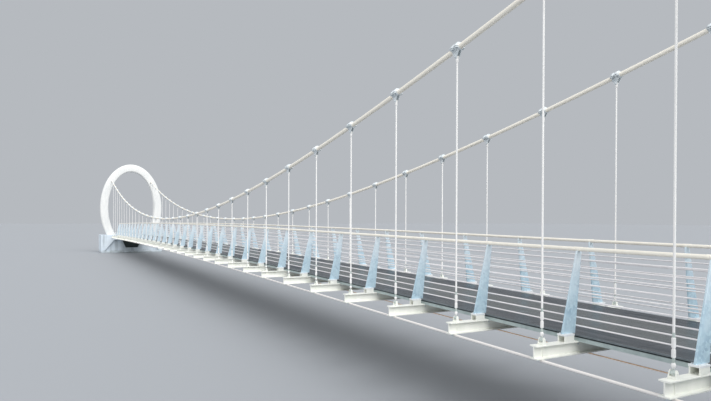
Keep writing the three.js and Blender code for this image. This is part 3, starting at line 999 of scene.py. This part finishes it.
def storm_clips(shape, side):
    """A sleeve under each floor beam that holds the storm cable, and a socket at each abutment."""
    sleeve = [(-0.016, 0.009), (-0.016, 0.0135), (0.016, 0.0135), (0.016, 0.009)]
    socket = [(0, 0.036), (0.010, 0.036), (0.011, 0.021), (0.070, 0.018), (0.085, 0.009)]
    for x in BEAM_PLACES:
        shape.turned(Vector((x, side * STORM_CABLE_Y, STORM_CABLE_Z)), X, sleeve)
    for end, _ in ENDS:
        anchor = Vector((end * ABUTMENT_FRONT, side * STORM_CABLE_Y, STORM_CABLE_Z))
        shape.turned(anchor, -end * X, socket)


# Ring pylons and abutments

def ring_section(turn):
    """The rounded section of the ring at an angle from +Y, as points in a closed loop."""
    outer = Vector((0, RING_HALF_WIDTH * math.cos(turn), RING_HALF_HEIGHT * math.sin(turn)))
    inner = outer - RING_BAND * Vector((0, math.cos(turn), math.sin(turn)))
    middle = (outer + inner) / 2
    outwards = (outer - inner).normalized()
    half_band = (outer - inner).length / 2
    half_depth = RING_DEPTH / 2
    points = []
    for quarter in range(4):
        corner = math.pi / 4 + math.pi / 2 * quarter
        for step in range(CORNER_STEPS + 1):
            angle = math.pi / 2 * (quarter + step / CORNER_STEPS)
            across = math.copysign(half_band - RING_CORNER, math.cos(corner))
            along = math.copysign(half_depth - RING_CORNER, math.sin(corner))
            across += RING_CORNER * math.cos(angle)
            along += RING_CORNER * math.sin(angle)
            points.append(middle + outwards * across + X * along)
    return points


def cut_below(mesh, height):
    """Cuts a closed mesh off level at that height and closes it."""
    build = bmesh.new()
    build.from_mesh(mesh)
    everything = build.verts[:] + build.edges[:] + build.faces[:]
    bmesh.ops.bisect_plane(
        build, geom=everything, plane_co=(0, 0, height), plane_no=(0, 0, -1), clear_outer=True
    )
    bmesh.ops.holes_fill(build, edges=build.edges[:], sides=0)
    build.to_mesh(mesh)
    build.free()


def ring_pylon(end, name):
    centre = Vector((end * HALF_SPAN, 0, RING_CENTRE_Z))
    foot_turn = math.asin((DECK_END_Z - RING_FOOT_REACH - RING_CENTRE_Z) / RING_HALF_HEIGHT)
    turns = steps_between(foot_turn, math.pi - foot_turn, 2 * math.pi / RING_STEPS)
    shape = Shape()
    shape.skin([[centre + point for point in ring_section(turn)] for turn in turns])
    mesh = bpy.data.meshes.new(f"ring_{name}")
    mesh.from_pydata(shape.points, [], shape.faces)
    cut_below(mesh, ring_low.z)
    add_mesh(f"ring_{name}", mesh, WHITE_PAINT, [f"ring_pylon_{name}"], 0.0)


def ring_seams(end):
    """Weld beads where the ring's segments meet."""
    centre = Vector((end * HALF_SPAN, 0, RING_CENTRE_Z))
    shape = Shape()
    for seam in range(RING_SEAMS):
        turn = math.pi * (2 * seam + 1) / RING_SEAMS
        points = [centre + point for point in ring_section(turn)]
        onwards = Vector((0, -math.sin(turn), math.cos(turn)))
        if min(point.z for point in points) > DECK_END_Z:
            shape.tube(points, SEAM_RADIUS, SEAM_SIDES, closed=True, reference=onwards)
    return shape


def cable_sockets(end):
    """Bolted collars where the main cables enter the ring."""
    shape = Shape()
    face_x = end * (HALF_SPAN - RING_DEPTH / 2)
    profile = [(-0.02, 0.046), (0.012, 0.046), (0.014, 0.034), (0.10, 0.030), (0.12, 0.022)]
    for side, _ in SIDES:
        place = cable_point(face_x, side)
        shape.turned(place, -end * cable_direction(face_x), profile, CABLE_SIDES)
        for bolt in circle(place - end * X * SOCKET_BOLT_OUT, X, SOCKET_BOLT_CIRCLE, SOCKET_BOLTS):
            shape.bolt(bolt, -end * X, SOCKET_BOLT_SIZE)
    return shape


def abutment(name):
    """The concrete block of the frame with its edges taken off."""
    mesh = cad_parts[f"abutment_{name}"].data.copy()
    mesh.name = f"abutment_block_{name}"
    build = bmesh.new()
    build.from_mesh(mesh)
    bmesh.ops.remove_doubles(build, verts=build.verts, dist=0.0001)
    flat = math.radians(1)
    bmesh.ops.dissolve_limit(build, angle_limit=flat, verts=build.verts[:], edges=build.edges[:])
    build.to_mesh(mesh)
    build.free()
    add_mesh(mesh.name, mesh, PALE_CONCRETE, [f"abutment_{name}"], CONCRETE_EDGE)


def mortar_beds(end):
    """Thin beds on the abutment under the end posts' base plates."""
    shape = Shape()
    x = end * END_POST_X
    half_length = BASE_PLATE_HALF_WIDTH + MORTAR_RIM
    across = (BASE_PLATE_INNER - MORTAR_RIM, BASE_PLATE_OUTER + MORTAR_RIM)
    levels = (DECK_END_Z - 2 * OVERLAP, deck_z(x) + PEDESTAL_TOP)
    for side, _ in SIDES:
        shape.block(side, x, half_length, across, levels)
    return shape


def deck_joint(end):
    """The cover plate over the gap between the deck's end and the abutment."""
    shape = Shape()
    faces = sorted((end * (DECK_END_X - COVER_INNER), end * (DECK_END_X + COVER_OUTER)))
    low = (faces[0], -COVER_HALF_WIDTH, DECK_END_Z + COVER_BOTTOM)
    high = (faces[1], COVER_HALF_WIDTH, DECK_END_Z + COVER_TOP)
    shape.box(low, high)
    for number in range(COVER_SCREWS):
        y = COVER_SCREW_PITCH * (number - (COVER_SCREWS - 1) / 2)
        place = Vector((end * (DECK_END_X + COVER_SCREW_X), y, DECK_END_Z + COVER_TOP))
        shape.turned(place, Z, [(-0.001, 0.007), (0.001, 0.006)], BOLT_SIDES)
    return shape


def build_bridge():
    joints = [(n - SECTIONS / 2) * SECTION_LENGTH for n in range(1, SECTIONS)]
    cuts = [-DECK_END_X] + joints + [DECK_END_X]
    for number, (start, end) in enumerate(zip(cuts, cuts[1:]), 1):
        build_section(number, start + JOINT_GAP / 2, end - JOINT_GAP / 2)
    for side, side_name in SIDES:
        build_cables(side, side_name)
    for end, end_name in ENDS:
        build_end(end, end_name)


def build_section(number, start, end):
    """One length of the deck, its floor and both railings."""
    deck = ("deck_boards", f"deck_{number}")
    floor = ("cream_paint", f"floor_frame_{number}")
    floor_zinc = ("galvanised_steel", f"floor_frame_{number}")
    places = beam_places(start, end)
    stands = places + [x for x in (-END_POST_X, END_POST_X) if start < x < end]
    for name, shape, material, target, bevel in (
        ("side_lanes", on_deck(deck_lanes, start, end, (-2, 1)), SIDE_MESH, deck, FINE_EDGE),
        ("middle_lanes", on_deck(deck_lanes, start, end, (-1, 0)), MIDDLE_MESH, deck, FINE_EDGE),
        ("deck_edges", on_deck(deck_edges, start, end), DARK_RUBBER_AND_SHADE, deck, 0.0),
        ("edge_trims", on_deck(edge_trims, start, end), TRIM_METAL, deck, 0.0),
        ("floor_beams", on_deck(floor_beams, places), CREAM_PAINT, floor, FINE_EDGE),
        ("edge_channels", on_deck(edge_channels, start, end), CHANNEL_PAINT, floor, 0.0),
        ("stringers", on_deck(stringers, start, end), CHANNEL_PAINT, floor, 0.0),
        ("floor_ties", on_deck(floor_ties, start, end), TIE_STEEL, floor_zinc, 0.0),
        ("web_bolts", on_deck(web_bolts, places), SMALL_ZINC, floor_zinc, 0.0),
    ):
        add_piece(f"{name}_{number}", shape, material, *target, bevel=bevel)
    for side, side_name in SIDES:
        label = f"{side_name}_{number}"
        railing = ("galvanised_steel", f"railing_{label}")
        for name, shape, material, bevel in (
            ("posts", on_deck(posts, stands, side), POST_ZINC, POST_EDGE),
            ("base_plates", on_deck(base_plates, stands, side), PLATE_ZINC, FINE_EDGE),
            ("base_bolts", on_deck(base_bolts, stands, side), SMALL_ZINC, 0.0),
            ("pedestals", on_deck(pedestals, places, side), CREAM_PAINT, FINE_EDGE),
            # Painted shade: near-black sheets inside the pedestals.
            ("pedestal_shade_sheets", on_deck(pedestal_shade_sheets, places, side), DARK_RUBBER_AND_SHADE, 0.0),
            ("handrail", on_deck(handrail, start, end, side), HANDRAIL_PAINT, 0.0),
            ("saddles", on_deck(saddles, stands, side), HANDRAIL_PAINT, 0.0),
            ("rails", on_deck(rails, start, end, side), RAIL_PAINT, 0.0),
        ):
            add_piece(f"{name}_{label}", shape, material, *railing, bevel=bevel)


def build_cables(side, side_name):
    """The main cable with its hangers and the storm cable on one side."""
    cable = f"main_cable_{side_name}"
    storm = f"storm_cable_{side_name}"
    for name, shape, material, node, bevel in (
        ("cable", main_cable(side), CABLE_WIRE, cable, 0.0),
        ("cable_clamps", at_hangers(cable_clamp, side), SMALL_ZINC, cable, 0.0),
        ("hanger_forks", at_hangers(hanger_fork, side), SMALL_ZINC, cable, FORK_EDGE),
        ("hanger_ends", at_hangers(hanger_end, side), HANGER_PAINT, cable, 0.0),
        ("hanger_threads", at_hangers(hanger_thread, side), THREAD_STEEL, cable, 0.0),
        ("hanger_rods", at_hangers(hanger_rod, side), HANGER_PAINT, cable, 0.0),
        ("hanger_lugs", at_hangers(hanger_lug, side), CREAM_PAINT, cable, FORK_EDGE),
        ("storm_wire", on_deck(storm_cable, side), STORM_WIRE, storm, 0.0),
        ("storm_clips", on_deck(storm_clips, side), SMALL_ZINC, storm, 0.0),
    ):
        add_piece(f"{name}_{side_name}", shape, material, "cable_wire", node, bevel=bevel)


def build_end(end, name):
    """A ring pylon and an abutment with the parts on them."""
    ring = ("white_paint", f"ring_pylon_{name}")
    block = f"abutment_{name}"
    ring_pylon(end, name)
    add_piece(f"ring_seams_{name}", ring_seams(end), WHITE_PAINT, *ring)
    add_piece(f"cable_sockets_{name}", cable_sockets(end), WHITE_PAINT, *ring)
    abutment(name)
    add_piece(f"mortar_beds_{name}", mortar_beds(end), PALE_CONCRETE, "concrete", block, bevel=FINE_EDGE)
    joint = deck_joint(end)
    add_piece(f"deck_joint_{name}", joint, SMALL_ZINC, "galvanised_steel", block, bevel=FINE_EDGE)


# Floor, light and camera

FLOOR_REACH = 260.0
FLOOR_COLOUR = colour(163, 166, 170)
SKY_COLOUR = colour(182, 186, 191)
MAIN_SUN = ("soft_sun", 3.0, math.radians(55), Vector((-0.70, -0.04, 0.62)))
FILL_SUN = ("fill_sun", 0.85, math.radians(60), Vector((0.10, 0.85, 0.50)))


def make_floor():
    mesh = bpy.data.meshes.new("studio_floor")
    corners = rectangle((-FLOOR_REACH, -FLOOR_REACH), (FLOOR_REACH, FLOOR_REACH))
    mesh.from_pydata([(x, y, 0) for x, y in corners], [], [(0, 1, 2, 3)])
    surface = Surface("studio_floor", 0.9)
    mesh.materials.append(surface.finish(FLOOR_COLOUR))
    floor = bpy.data.objects.new("studio_floor", mesh)
    bpy.context.scene.collection.objects.link(floor)


def make_light():
    world = bpy.data.worlds.new("studio")
    world.use_nodes = True
    background = world.node_tree.nodes["Background"]
    background.inputs["Color"].default_value = SKY_COLOUR
    background.inputs["Strength"].default_value = 1.0
    bpy.context.scene.world = world
    for name, strength, angle, towards in (MAIN_SUN, FILL_SUN):
        sun = bpy.data.lights.new(name, "SUN")
        sun.energy = strength
        sun.angle = angle
        lamp = bpy.data.objects.new(name, sun)
        lamp.rotation_euler = towards.to_track_quat("Z", "Y").to_euler()
        bpy.context.scene.collection.objects.link(lamp)


def make_camera():
    cos_pitch = math.cos(CAMERA_PITCH)
    forward = Vector((
        cos_pitch * math.cos(CAMERA_YAW), -cos_pitch * math.sin(CAMERA_YAW), math.sin(CAMERA_PITCH)
    ))
    level = Vector((-math.sin(CAMERA_YAW), -math.cos(CAMERA_YAW), 0))
    upright = level.cross(forward)
    right = math.cos(CAMERA_ROLL) * level + math.sin(CAMERA_ROLL) * upright
    up = math.cos(CAMERA_ROLL) * upright - math.sin(CAMERA_ROLL) * level
    lens = bpy.data.cameras.new("camera")
    lens.sensor_fit = "HORIZONTAL"
    lens.sensor_width = SENSOR_WIDTH
    lens.lens = FOCAL_PIXELS * SENSOR_WIDTH / PICTURE_WIDTH
    lens.shift_y = AXIS_BELOW_MIDDLE / PICTURE_WIDTH
    lens.clip_end = 4 * FLOOR_REACH
    camera = bpy.data.objects.new("camera", lens)
    turn = Matrix((right, up, -forward)).transposed().to_4x4()
    camera.matrix_world = Matrix.Translation(CAMERA_PLACE) @ turn
    bpy.context.scene.collection.objects.link(camera)
    bpy.context.scene.camera = camera


make_camera()
build_bridge()
make_floor()
make_light()
bpy.context.scene.view_settings.view_transform = "Standard"
